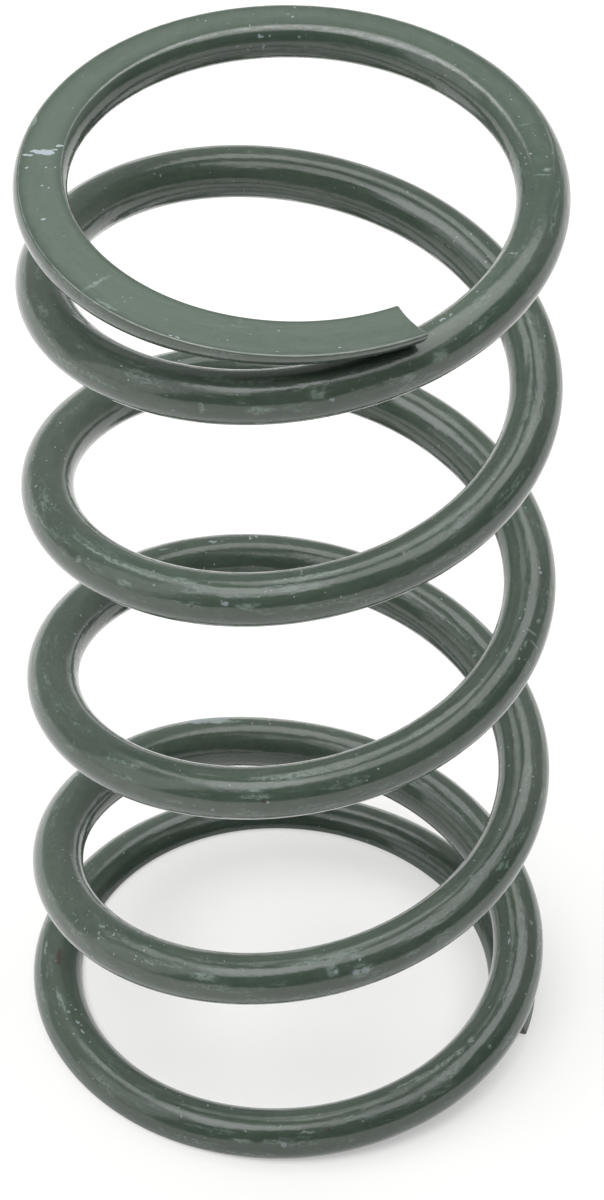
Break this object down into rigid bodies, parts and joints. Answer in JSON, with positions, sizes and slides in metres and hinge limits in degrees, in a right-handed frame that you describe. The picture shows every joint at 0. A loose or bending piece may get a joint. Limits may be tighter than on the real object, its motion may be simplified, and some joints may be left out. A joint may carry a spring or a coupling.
{
  "type": "clutch spring",
  "caption": "Helical compression spring of painted round steel wire, with closed ends ground flat, as used behind the sliding sheave of a drive clutch.",
  "frame": {"origin": "centre of the lower ground face, on the axis of the coils", "axes": "+Z along the axis of the coils, from the lower ground face to the upper one; +X to the right of the camera that took the picture"},
  "size_m": [0.0604, 0.0618, 0.123],
  "materials": {
    "green_paint": "satin"
  },
  "bodies": {
    "root": {"clutch_spring": "green_paint"}
  },
  "joints": []
}
